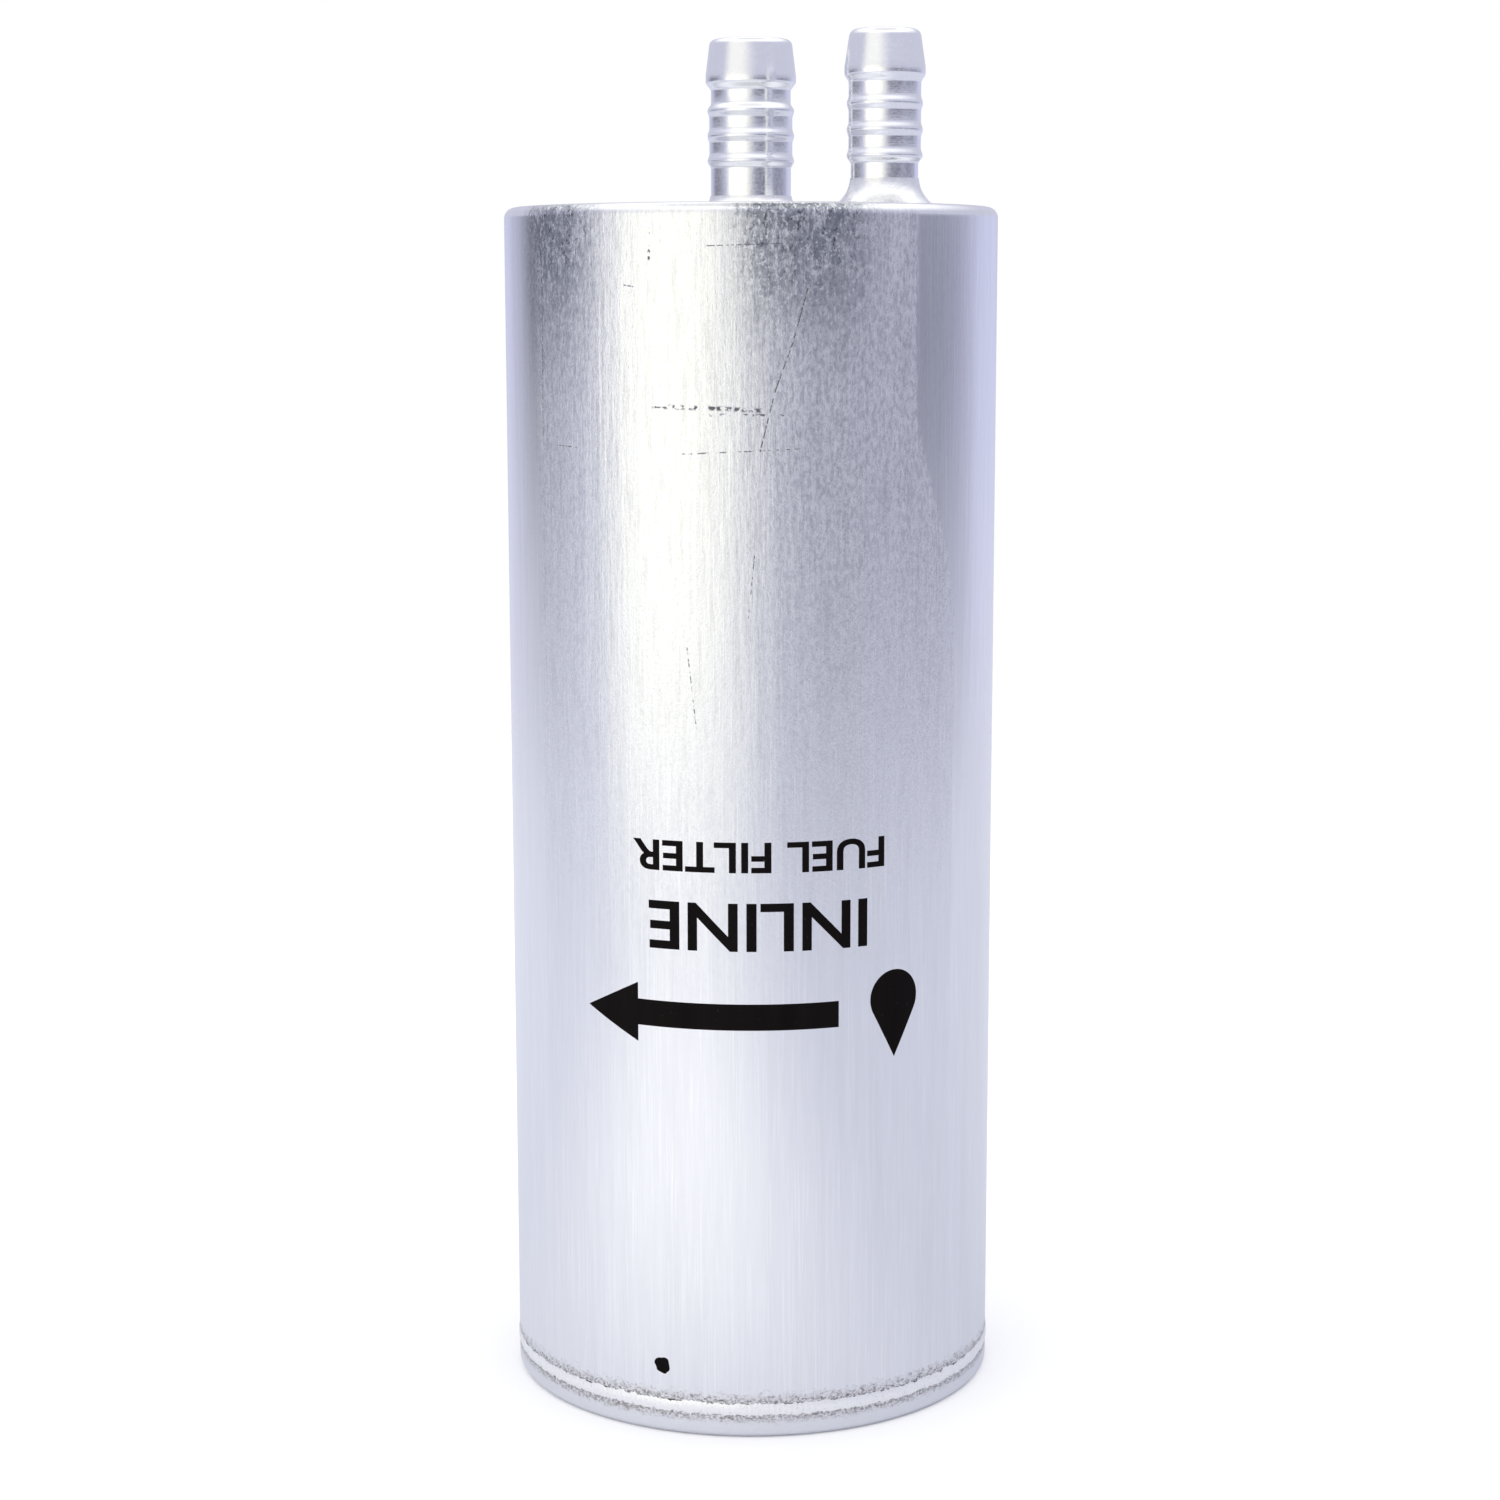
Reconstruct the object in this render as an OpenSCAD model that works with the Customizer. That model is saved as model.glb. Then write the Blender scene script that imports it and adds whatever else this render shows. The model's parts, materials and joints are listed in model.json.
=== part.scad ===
// Inline fuel filter: a welded aluminium canister with two hose barbs on its top plate,
// holding a spring-loaded pleated paper cartridge. Millimetres, +Z up, origin on the
// canister's axis at its foot. Fuel enters at the offset port, passes through the pleats
// from outside to inside and leaves by the central port.

/* [Canister] */
// Outside diameter of the canister
can_d = 84; // [80:0.5:90]
// Height from the foot to the top plate's outer face
can_h = 203.5; // [190:0.5:220]
// Thickness of the side wall
can_wall = 1.2; // [1:0.1:1.5]
// Thickness of the closed top plate
top_plate = 2.4; // [2:0.1:3]
// Outer radius where the side wall turns into the top plate
shoulder_r = 1.8; // [1.4:0.1:2]

/* [End cap] */
// Height of the girth weld above the foot
weld_z = 5; // [4.6:0.1:6]
// Width of the weld bead on the surface
weld_width = 2; // [1.6:0.1:2]
// Height of the locating lip inside the canister
lip_h = 4; // [3:0.5:6]
// Thickness of the end cap's floor
cap_floor = 1.8; // [1.5:0.1:2.5]

/* [Ports] */
// Distance from the canister's axis to the inlet's axis
inlet_offset = 29.6; // [28:0.1:30]
// Angle of the inlet about the canister's axis
inlet_angle = -42.5; // [-180:0.5:180]
// Height of both barbs above the top plate
barb_h = 28; // [27:0.5:34]
// Radius of the outlet's neck
outlet_neck = 6.8; // [6.6:0.1:7]
// Radius of the outlet's bore
outlet_bore = 5.4; // [4.8:0.1:5.6]
// Radius of the inlet's neck
inlet_neck = 5.5; // [5.3:0.1:5.7]
// Radius of the inlet's bore
inlet_bore = 4.2; // [3.8:0.1:4.3]

/* [Cartridge] */
// Number of pleats in the paper
pleats = 60; // [40:1:60]
// Thickness of the paper
paper = 0.5; // [0.4:0.05:0.5]
// Radius over the pleats' outer folds
media_r = 36; // [34:0.1:36]
// Radius over the centre tube
tube_r = 14; // [13:0.5:14]
// Holes in each row round the centre tube
tube_holes = 6; // [4:2:6]
// Rows of holes along the centre tube
tube_rows = 13; // [6:1:14]

/* [Spring] */
// Diameter of the spring wire
wire_d = 1.8; // [1.4:0.1:2]
// Radius of the coil at the middle of the wire
coil_r = 20; // [19.6:0.1:21]
// Turns of the coil that are free to move
free_turns = 3; // [2:0.5:3]

/* [Hidden] */
$fn = 96;

// Canister
can_r = can_d / 2;
bore_r = can_r - can_wall;
plate_z = can_h - top_plate;
edge_r = 1.2;              // outer edge of the foot
inner_shoulder_r = 1;      // inside corner under the top plate
groove = weld_width / 2;   // depth and half width of the weld's V groove
weld_crown = 0.12;         // how far the bead stands proud of the wall
crown_r = (groove * groove + weld_crown * weld_crown) / (2 * weld_crown);

// End cap
lip_wall = 2;
lip_gap = 0.05;            // the lip's clearance in the canister
recess_r = 17;             // raised panel in the middle of the foot
recess_h = 1.6;
boss_r = recess_r + 1.4;
cut = 0.5;                 // how far a cutting shape runs past the surface

// Ports: radii of the neck, the valleys between ridges, the ridges' crests, the groove
// under the bulge, the bulge, the tip, the rounding of the tip, and the bore
outlet = [outlet_neck, outlet_neck + 0.25, outlet_neck + 0.55, outlet_neck - 0.05,
          outlet_neck + 0.85, outlet_neck + 0.25, 1.1, outlet_bore];
inlet = [inlet_neck, inlet_neck + 0.4, inlet_neck + 0.7, inlet_neck + 0.4,
         inlet_neck + 1.1, inlet_neck + 0.4, 1.3, inlet_bore];
inlet_pos = [inlet_offset * cos(inlet_angle), inlet_offset * sin(inlet_angle)];
ridges = 3;
first_ridge = 7.8;         // height of the lowest ridge's crest above the top plate
ridge_pitch = 4.2;
ridge_slope = 1.3;         // length of the slope on each side of a crest
bulge_z = 21;              // foot of the bulge's cylindrical land
bulge_land = 1.0;          // length of that land, where the cone up to the tip begins
bulge_foot = 1.6;          // length of the slope below the land
flange_t = 2;              // shoulder that seats under the top plate
flange_w = 3.1;
spigot_h = 15.1;           // how far the outlet reaches below the top plate
inlet_h = 4;               // how far the inlet reaches below the top plate
braze_edge = 0.12;

// Cartridge: heights of its layers, from its foot upwards
stop_gap = 0.03;           // cartridge to the outlet's shoulder when the spring holds it up
disc_t = 0.6;
potting_t = 3;
retainer_top = plate_z - flange_t - stop_gap;
collar_top = retainer_top - disc_t;
collar_r = 10.5;
rim_h = 3;                 // skirt of the ring that closes the collar
headroom = 10.6;           // space between the cartridge and the top plate
cartridge_top = plate_z - headroom;
media_top = cartridge_top - disc_t - potting_t;
cartridge_foot = 18;
media_foot = cartridge_foot + disc_t + potting_t;
skirt_r = 36.6;
skirt_h = 5.6;
dish_h = 1.5;
seal_clear = 0.05;
tube_wall = 0.6;
tube_hole_r = 2.6;
fold_half = 0.75;          // half the width over an outer fold
inner_fold_r = tube_r + 0.3;
inner_gap = 0.12;          // half the width between folds at the centre tube
clip_gap = 0.1;
clip_r = media_r + clip_gap;
clip_t = 0.3;
clip_depth = 8;
beads = 4;                 // rings of glue round the pleats
bead_h = 1.2;
ring_h = 3;
lug_r = bore_r - 0.3;
lug_w = 6;

// Spring
seat_t = 0.5;
spring_foot = cap_floor + seat_t;
spring_top = cartridge_foot;
wire_sides = 8;
rings_per_turn = 30;
turns = free_turns + 2;    // one closed turn at each end

aluminium = [0.80, 0.81, 0.84];
turned_aluminium = [0.86, 0.86, 0.89];
tin_plate = [0.62, 0.62, 0.60];
paper_colour = [0.93, 0.86, 0.66];
adhesive_colour = [0.25, 0.20, 0.16];
rubber_colour = [0.06, 0.06, 0.06];

// Half profile of a disc: width w, height h, outer upper corner rounded to r.
module rounded_half(w, h, r) {
    square([w - r, h]);
    square([w, h - r]);
    translate([w - r, h - r]) circle(r);
}

// One sloping side of the weld's V groove, above the weld (1) or below it (-1).
module groove_side(up) {
    translate([can_r, weld_z])
        polygon([[-groove - cut, -up * cut], [cut, -up * cut], [cut, up * (groove + cut)]]);
}

module port_holes() {
    translate([0, 0, plate_z - 1]) cylinder(h = top_plate + 2, r = outlet_neck);
    translate([inlet_pos.x, inlet_pos.y, plate_z - 1])
        cylinder(h = top_plate + 2, r = inlet_neck);
}

// Half section of the drawn can, wall and top in one.
module can_section() difference() {
    translate([0, weld_z]) rounded_half(can_r, can_h - weld_z, shoulder_r);
    rounded_half(bore_r, plate_z, inner_shoulder_r);
    groove_side(1);
}

// The can is one drawn piece. Its wall and its top are two nodes that meet level with the
// underside of the top, so that each has a simple shape.
module can_wall() color(aluminium) rotate_extrude() intersection() {
    can_section();
    square([can_r, plate_z]);
}

module can_top() color(aluminium) difference() {
    rotate_extrude() difference() {
        can_section();
        square([can_r + 1, plate_z]);
    }
    port_holes();
}

module end_cap() color(aluminium) rotate_extrude() difference() {
    union() {
        translate([0, weld_z]) mirror([0, 1]) rounded_half(can_r, weld_z, edge_r);
        square([bore_r - lip_gap, weld_z + lip_h]);
    }
    translate([boss_r, cap_floor]) square([bore_r - lip_gap - lip_wall - boss_r, can_h]);
    translate([0, cap_floor + recess_h]) square([bore_r - lip_gap - lip_wall, can_h]);
    translate([0, -1]) square([recess_r, recess_h + 1]);
    groove_side(-1);
}

module girth_weld() color(turned_aluminium) rotate_extrude() intersection() {
    polygon([[can_r - groove, weld_z], [can_r, weld_z + groove],
             [can_r + 1, weld_z + groove], [can_r + 1, weld_z - groove],
             [can_r, weld_z - groove]]);
    translate([can_r + weld_crown - crown_r, weld_z]) circle(crown_r);
}

// Cosine slope from radius a at height 0 to radius b at height h.
function slope(a, b, z, h, steps = 5) =
    [for (i = [0:steps]) [a + (b - a) * (1 - cos(180 * i / steps)) / 2, z + h * i / steps]];

// Outline of one ridge, from its foot to its tip side.
function ridge(neck, valley, crest, groove, i) =
    let (z = first_ridge + i * ridge_pitch)
    concat(slope(i == 0 ? neck : valley, crest, z - ridge_slope, ridge_slope),
           slope(crest, i == ridges - 1 ? groove : valley, z, ridge_slope));

// Outside of a barb above the top plate: ridges, bulge with its land, cone and rounded tip.
function barb_outline(s) =
    let (valley = s[1], crest = s[2], groove = s[3], bulge = s[4], tip = s[5], round = s[6])
    concat(
        [for (i = [0:ridges - 1]) each ridge(s[0], valley, crest, groove, i)],
        slope(groove, bulge, bulge_z - bulge_foot, bulge_foot),
        [[bulge, bulge_z + bulge_land]],
        [for (a = [0:15:90]) [tip - round + round * cos(a), barb_h - round + round * sin(a)]]);

module barb(s, end_z) color(turned_aluminium) difference() {
    union() {
        rotate_extrude() polygon(concat(
            [[0, plate_z], [s[0], plate_z]],
            [for (p = barb_outline(s)) [p.x, p.y + can_h]],
            [[0, can_h + barb_h]]));
        translate([0, 0, plate_z - flange_t]) cylinder(h = flange_t, r = s[0] + flange_w);
        translate([0, 0, end_z]) cylinder(h = plate_z - end_z, r = s[0]);
    }
    translate([0, 0, end_z - 1]) cylinder(h = can_h + barb_h - end_z + 2, r = s[7]);
}

// Concave ring of filler round a barb's foot: w wide, h high, hollowed to radius r.
module braze(neck, w, h, r) color(turned_aluminium) translate([0, 0, can_h])
    rotate_extrude() translate([neck, 0]) difference() {
        square([w, h]);
        translate([r + braze_edge, sqrt(r * r - pow(r + braze_edge - w, 2)) + braze_edge])
            circle(r);
    }

module outlet_barb() barb(outlet, plate_z - spigot_h);
module outlet_braze() braze(outlet_neck, 2, 2, 2);
module inlet_barb() translate(inlet_pos) barb(inlet, plate_z - inlet_h);
module inlet_braze() translate(inlet_pos) braze(inlet_neck, 2.4, 4.2, 5.4);

module spring_seat() color(tin_plate) translate([0, 0, cap_floor]) difference() {
    cylinder(h = seat_t, r = coil_r + 3);
    translate([0, 0, -1]) cylinder(h = seat_t + 2, r = boss_r + 0.1);
}

// Height of the wire's centre at turn t: closed end turns, even pitch between them.
function coil_z(t) =
    let (low = spring_foot + wire_d / 2, high = spring_top - wire_d / 2,
         closed = wire_d + 0.1, rise = (high - low - 2 * closed) / free_turns)
    t < 1 ? low + closed * t
    : t > turns - 1 ? high - closed * (turns - t)
    : low + closed + rise * (t - 1);

module hold_down_spring() {
    rings = turns * rings_per_turn;
    points = [for (i = [0:rings], k = [0:wire_sides - 1])
        let (t = i / rings_per_turn, r = coil_r + wire_d / 2 * cos(360 * k / wire_sides))
        [r * cos(360 * t), r * sin(360 * t),
         coil_z(t) + wire_d / 2 * sin(360 * k / wire_sides)]];
    sides = [for (i = [0:rings - 1], k = [0:wire_sides - 1])
        let (n = (k + 1) % wire_sides, a = i * wire_sides, b = a + wire_sides)
        [a + k, b + k, b + n, a + n]];
    last = rings * wire_sides;
    color([0.45, 0.45, 0.47]) polyhedron(points, concat(
        sides,
        [[for (k = [0:wire_sides - 1]) k]],
        [[for (k = [wire_sides - 1:-1:0]) last + k]]), convexity = 6);
}

// Pressed lower disc: a dish that centres the spring's top turn, and a skirt round the
// pleats.
module lower_end_disc() color(tin_plate) translate([0, 0, cartridge_foot])
    rotate_extrude() difference() {
        union() {
            square([skirt_r + disc_t, skirt_h]);
            translate([0, -dish_h]) square([boss_r, dish_h + disc_t]);
        }
        translate([0, disc_t]) square([skirt_r, skirt_h]);
        translate([0, disc_t - dish_h]) square([boss_r - disc_t, dish_h + disc_t]);
    }

// Adhesive that fills the lower disc and its dish.
module lower_potting() color(adhesive_colour)
    translate([0, 0, cartridge_foot + disc_t]) {
        cylinder(h = potting_t, r = skirt_r);
        translate([0, 0, -dish_h]) cylinder(h = dish_h, r = boss_r - disc_t);
    }

// Ring with lugs that keeps the cartridge in the middle of the canister.
module centring_ring() color([0.15, 0.15, 0.16]) translate([0, 0, cartridge_foot + 1]) {
    inner = skirt_r + disc_t;
    difference() {
        union() {
            cylinder(h = ring_h, r = inner + 1);
            intersection() {
                cylinder(h = ring_h, r = lug_r);
                for (a = [45:90:315]) rotate(a)
                    translate([0, -lug_w / 2, 0]) cube([can_r, lug_w, ring_h]);
            }
        }
        translate([0, 0, -1]) cylinder(h = ring_h + 2, r = inner);
    }
}

// Star outline with folds at radii tip and valley, of half width a at the tip fold
// and half width b between folds at the valley.
function star(tip, valley, a, b) =
    let (step = 360 / pleats, da = asin(a / tip), db = asin(b / valley))
    [for (i = [0:pleats - 1]) each [
        polar(tip, i * step - da), polar(tip, i * step + da),
        polar(valley, (i + 0.5) * step - db), polar(valley, (i + 0.5) * step + db)]];
function polar(r, a) = [r * cos(a), r * sin(a)];

module filter_media() color(paper_colour) translate([0, 0, media_foot]) {
    linear_extrude(media_top - media_foot) difference() {
        polygon(star(media_r, inner_fold_r + paper, fold_half, inner_gap));
        polygon(star(media_r - paper, inner_fold_r, fold_half - paper, inner_gap + paper));
    }
}

// Folded strip that clamps the paper's two ends together at one pleat.
module media_seam_clip() color(tin_plate) translate([0, 0, media_foot]) difference() {
    inside = fold_half + clip_gap;
    translate([clip_r + clip_t - clip_depth, -inside - clip_t, 0])
        cube([clip_depth, 2 * (inside + clip_t), media_top - media_foot]);
    translate([0, -inside, -1]) cube([clip_r, 2 * inside, can_h]);
}

// Rings of glue that hold the pleats at an even pitch, open at the seam clip.
module pleat_spacer_beads() color([0.88, 0.85, 0.75])
    for (i = [1:beads])
        translate([0, 0, media_foot + i / (beads + 1) * (media_top - media_foot)]) difference() {
            cylinder(h = bead_h, r = media_r + 0.55);
            translate([0, 0, -1]) cylinder(h = bead_h + 2, r = media_r + 0.02);
            translate([0, -2, -1]) cube([can_r, 4, bead_h + 2]);
        }

module centre_tube() color(tin_plate) translate([0, 0, media_foot]) {
    height = media_top - media_foot;
    difference() {
        cylinder(h = height, r = tube_r);
        translate([0, 0, -1]) cylinder(h = height + 2, r = tube_r - tube_wall);
        for (row = [1:tube_rows], hole = [0:tube_holes / 2 - 1])
            translate([0, 0, row * height / (tube_rows + 1)])
                rotate([0, 0, (hole + row % 2 / 2) * 360 / tube_holes])
                    rotate([90, 0, 0])
                        cylinder(h = 2 * tube_r + 2, r = tube_hole_r, center = true);
    }
}

module upper_potting() color(adhesive_colour) translate([0, 0, media_top]) difference() {
    cylinder(h = potting_t, r = skirt_r);
    translate([0, 0, -1]) cylinder(h = potting_t + 2, r = tube_r - tube_wall);
}

// Pressed upper disc: skirt round the pleats and an upstanding collar for the seal.
module upper_end_disc() color(tin_plate) rotate_extrude() {
    hole_r = outlet_neck + 1.1;
    translate([hole_r, cartridge_top - disc_t]) square([skirt_r + disc_t - hole_r, disc_t]);
    translate([skirt_r, cartridge_top - skirt_h]) square([disc_t, skirt_h]);
    translate([collar_r, cartridge_top - disc_t])
        square([disc_t, collar_top - cartridge_top + disc_t]);
}

// Rubber ring that slides on the outlet's spigot: three lips on a solid back.
module outlet_seal() color(rubber_colour) {
    foot = cartridge_top;
    height = collar_top - foot;
    lips = 3;
    lip_r = height / lips / 2;
    rotate_extrude() difference() {
        translate([outlet_neck + seal_clear, foot])
            square([collar_r - outlet_neck - seal_clear, height]);
        for (i = [0:lips])
            translate([outlet_neck + seal_clear - 0.5, foot + i * height / lips])
                circle(lip_r);
    }
}

// Pressed ring that closes the collar over the seal.
module seal_retainer() color(tin_plate) rotate_extrude() {
    inner = outlet_neck + 0.6;
    outer = collar_r + disc_t;
    translate([inner, collar_top]) square([outer + disc_t - inner, disc_t]);
    translate([outer, collar_top - rim_h]) square([disc_t, rim_h]);
}

can_wall();
can_top();
end_cap();
girth_weld();
outlet_barb();
outlet_braze();
inlet_barb();
inlet_braze();
spring_seat();
hold_down_spring();
lower_end_disc();
lower_potting();
centring_ring();
filter_media();
media_seam_clip();
pleat_spacer_beads();
centre_tube();
upper_potting();
upper_end_disc();
outlet_seal();
seal_retainer();
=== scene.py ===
"""Looks of an inline fuel filter: a welded aluminium canister with two hose barbs, printed in
black, and the spring-loaded paper cartridge inside it. Lengths are in millimetres until mesh
code turns them into metres."""

import json
import math

import bmesh
import bpy
from mathutils import Matrix, Vector, noise


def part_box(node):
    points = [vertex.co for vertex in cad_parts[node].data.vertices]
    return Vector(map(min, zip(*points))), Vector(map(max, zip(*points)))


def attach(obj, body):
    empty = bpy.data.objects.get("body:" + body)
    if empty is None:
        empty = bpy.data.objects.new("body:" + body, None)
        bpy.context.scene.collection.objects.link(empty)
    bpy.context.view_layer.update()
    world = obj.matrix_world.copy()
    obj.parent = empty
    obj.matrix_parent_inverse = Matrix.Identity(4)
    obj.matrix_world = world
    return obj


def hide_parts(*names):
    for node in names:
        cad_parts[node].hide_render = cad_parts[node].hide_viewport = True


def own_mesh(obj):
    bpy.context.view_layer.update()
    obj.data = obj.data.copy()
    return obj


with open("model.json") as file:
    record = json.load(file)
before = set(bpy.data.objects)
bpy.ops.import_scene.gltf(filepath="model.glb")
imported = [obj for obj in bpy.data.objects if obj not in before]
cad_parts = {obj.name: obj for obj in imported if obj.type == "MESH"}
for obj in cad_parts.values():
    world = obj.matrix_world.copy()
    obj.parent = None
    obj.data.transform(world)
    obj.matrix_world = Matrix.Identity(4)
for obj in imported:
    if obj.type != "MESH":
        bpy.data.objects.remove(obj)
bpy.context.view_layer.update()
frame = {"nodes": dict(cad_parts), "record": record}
mounts = {m["name"]: m for m in frame["record"]["mounts"]}

MM = 0.001
CANISTER = "canister"


def mm(value):
    return value / MM


# Sizes that the frame gives
TOP = mm(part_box("can_top")[1].z)
CAN_R = mounts["clamp_band"]["dims"]["r_mm"]
WELD_Z = mm(sum(corner.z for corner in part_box("girth_weld")) / 2)
WELD_HALF = mm(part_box("girth_weld")[1].z) - WELD_Z
TIP = mm(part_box("outlet_barb")[1].z)
INLET = [mm(v) for v in mounts["inlet_bore"]["pos_m"][:2]]

# Sizes of the canister
WALL = 1.2
BORE_R = CAN_R - WALL
TOP_T = 2.4
PLATE = TOP - TOP_T
SHOULDER = 1.8
INNER_SHOULDER = 1
FOOT_EDGE = 1.2
EDGE_RING = 0.4  # distance of an extra ring of vertices from a rounded edge


# ---------------------------------------------------------------- node trees


class Nodes:
    """Fills one node tree. Each method adds nodes and returns an output socket."""

    def __init__(self, tree):
        self.tree = tree
        tree.nodes.clear()

    def put(self, socket, value):
        if isinstance(value, bpy.types.NodeSocket):
            self.tree.links.new(value, socket)
        else:
            socket.default_value = value

    def add(self, kind, inputs=(), **settings):
        node = self.tree.nodes.new(kind)
        for name, value in settings.items():
            setattr(node, name, value)
        for key, value in dict(inputs).items():
            self.put(node.inputs[key], value)
        return node

    def math(self, operation, *values):
        node = self.add("ShaderNodeMath", operation=operation)
        for socket, value in zip(node.inputs, values):
            self.put(socket, value)
        return node.outputs[0]

    def vector(self, operation, *values, out="Vector"):
        node = self.add("ShaderNodeVectorMath", operation=operation)
        for socket, value in zip(node.inputs, values):
            self.put(socket, value)
        return node.outputs[out]

    def scaled(self, vector, factor):
        node = self.add("ShaderNodeVectorMath", {"Vector": vector, "Scale": factor},
                        operation="SCALE")
        return node.outputs["Vector"]

    def noise(self, vector, scale, detail=2.0, rough=0.5):
        node = self.add("ShaderNodeTexNoise", {
            "Vector": vector, "Scale": scale, "Detail": detail, "Roughness": rough})
        return node.outputs["Fac"]

    def cells(self, vector, scale, out="Distance"):
        node = self.add("ShaderNodeTexVoronoi", {"Vector": vector, "Scale": scale})
        return node.outputs[out]

    def fade(self, value, low, high, to_low=0.0, to_high=1.0):
        """Smooth step: to_low where value is below low, to_high above high."""
        node = self.add("ShaderNodeMapRange", {
            "Value": value, "From Min": low, "From Max": high,
            "To Min": to_low, "To Max": to_high}, interpolation_type="SMOOTHSTEP")
        return node.outputs["Result"]

    def mix(self, factor, a, b):
        node = self.add("ShaderNodeMix", data_type="RGBA")
        for socket, value in zip((node.inputs[0], node.inputs[6], node.inputs[7]),
                                 (factor, a, b)):
            self.put(socket, value)
        return node.outputs[2]

    def split(self, vector):
        return self.add("ShaderNodeSeparateXYZ", {"Vector": vector}).outputs

    def join(self, x, y, z):
        return self.add("ShaderNodeCombineXYZ", {"X": x, "Y": y, "Z": z}).outputs[0]

    def bump(self, height, distance, normal=None, strength=1.0):
        """Bump from a height of 0 to 1; distance is its depth in millimetres."""
        inputs = {"Height": height, "Distance": distance * MM, "Strength": strength}
        if normal:
            inputs["Normal"] = normal
        return self.add("ShaderNodeBump", inputs).outputs["Normal"]

    def dress(self, surface, colour, rough, normal):
        """Gives a Principled surface its colour, roughness and bump."""
        self.put(surface.inputs["Base Color"], colour)
        self.put(surface.inputs["Roughness"], rough)
        self.put(surface.inputs["Normal"], normal)

    def place(self):
        """The point on the object, in millimetres."""
        node = self.add("ShaderNodeTexCoord")
        return self.scaled(node.outputs["Object"], 1 / MM)

    def stretched(self, vector, x, y, z):
        return self.vector("MULTIPLY", vector, (x, y, z))


def grey(value, tint=(1, 1, 1)):
    return tuple(value * t for t in tint) + (1,)


def new_material(name, **settings):
    """A material with a Principled surface: returns it, its Nodes and the surface node."""
    material = bpy.data.materials.new(name)
    material.use_nodes = True
    g = Nodes(material.node_tree)
    surface = g.add("ShaderNodeBsdfPrincipled", settings)
    g.add("ShaderNodeOutputMaterial", {"Surface": surface.outputs[0]})
    return material, g, surface


# ---------------------------------------------------------------- materials

METAL_TINT = (0.955, 0.965, 1.0)


def unrolled(g, place):
    """(arc, height, 0) on the canister's wall in mm; arc 0 is the printed side."""
    x, y, z = g.split(place)
    angle = g.math("ARCTAN2", x, g.math("MULTIPLY", y, -1))
    return g.join(g.math("MULTIPLY", angle, CAN_R), z, 0)


def line_distance(g, point, a, b):
    """Distance from point to the straight line from a to b."""
    along = Vector((b[0] - a[0], b[1] - a[1], 0))
    start = (a[0], a[1], 0)
    offset = g.vector("SUBTRACT", point, start)
    share = g.vector("DOT_PRODUCT", offset, tuple(along / along.length_squared), out="Value")
    share = g.math("MINIMUM", g.math("MAXIMUM", share, 0), 1)
    gap = g.vector("SUBTRACT", offset, g.scaled(tuple(along), share))
    return g.vector("LENGTH", gap, out="Value")


# Marks on the wall: each is (points as (arc, height) in mm, half width, how broken it is)
MARKS = (
    (((9.0, 190.0), (6.6, 181.5), (3.8, 174.0), (1.4, 164.5)), 0.11, 0.45),
    (((-7.0, 196.6), (4.5, 196.9)), 0.07, 0.47),
    (((-16.0, 171.5), (-5.0, 171.2)), 0.32, 0.56),
    (((-6.5, 171.3), (1.5, 170.9)), 0.32, 0.50),
    (((-6.5, 170.2), (7.0, 170.2)), 0.20, 0.56),
    (((-16.6, 199.4), (-16.6, 194.6)), 0.22, 0.55),
    (((-11.0, 164.0), (9.5, 164.9)), 0.09, 0.52),
    (((-21.5, 190.6), (-19.5, 190.3)), 0.09, 0.46),
    (((-37.0, 164.8), (-31.0, 164.6)), 0.09, 0.52),
    (((-40.5, 201.5), (-39.8, 190.0), (-40.0, 166.0)), 0.10, 0.46),
    (((0.5, 148.0), (-0.5, 138.0)), 0.07, 0.50),
    (((-10.5, 133.0), (-9.0, 120.0)), 0.07, 0.52),
)


def wall_marks(g, flat):
    """Mask of the scratches and scuffs: 1 in a mark."""
    ragged = g.noise(flat, 1.3, 3.0)
    total = None
    for points, half_width, broken in MARKS:
        for a, b in zip(points, points[1:]):
            near = g.fade(line_distance(g, flat, a, b), half_width * 0.4, half_width * 1.6, 1, 0)
            near = g.math("MULTIPLY", near, g.fade(ragged, broken - 0.05, broken + 0.05))
            total = near if total is None else g.math("MAXIMUM", total, near)
    return total


# Painted dark reflection under the rim, as darker patches: (arc from, arc to, height it fades
# out at, strength)
DARK_REFLECTION_PATCHES = ((-45.0, -27.0, 168.0, 1.15), (-3.0, 20.0, 172.0, 1.25), (60.0, 84.0, 184.0, 0.8),
          (-120.0, -88.0, 182.0, 0.8))


def rim_painted_reflection(g, flat, ragged, wall):
    """Mask of the dull, dark patches just under the rim, which are painted dark reflection: 1
    where darkest.
    """
    arc_at, height = g.split(flat)[:2]
    total = 0.0
    for low, high, foot, strength in DARK_REFLECTION_PATCHES:
        inside = g.math("MULTIPLY", g.fade(arc_at, low - 3, low + 6),
                        g.fade(arc_at, high - 8, high + 5, 1, 0))
        inside = g.math("MULTIPLY", inside, g.fade(height, foot, TOP, 0, strength))
        total = g.math("ADD", inside, total)
    total = g.math("MULTIPLY", g.math("MULTIPLY", total, wall), g.fade(ragged, 0.26, 0.60))
    return g.math("MINIMUM", total, 1)


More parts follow.
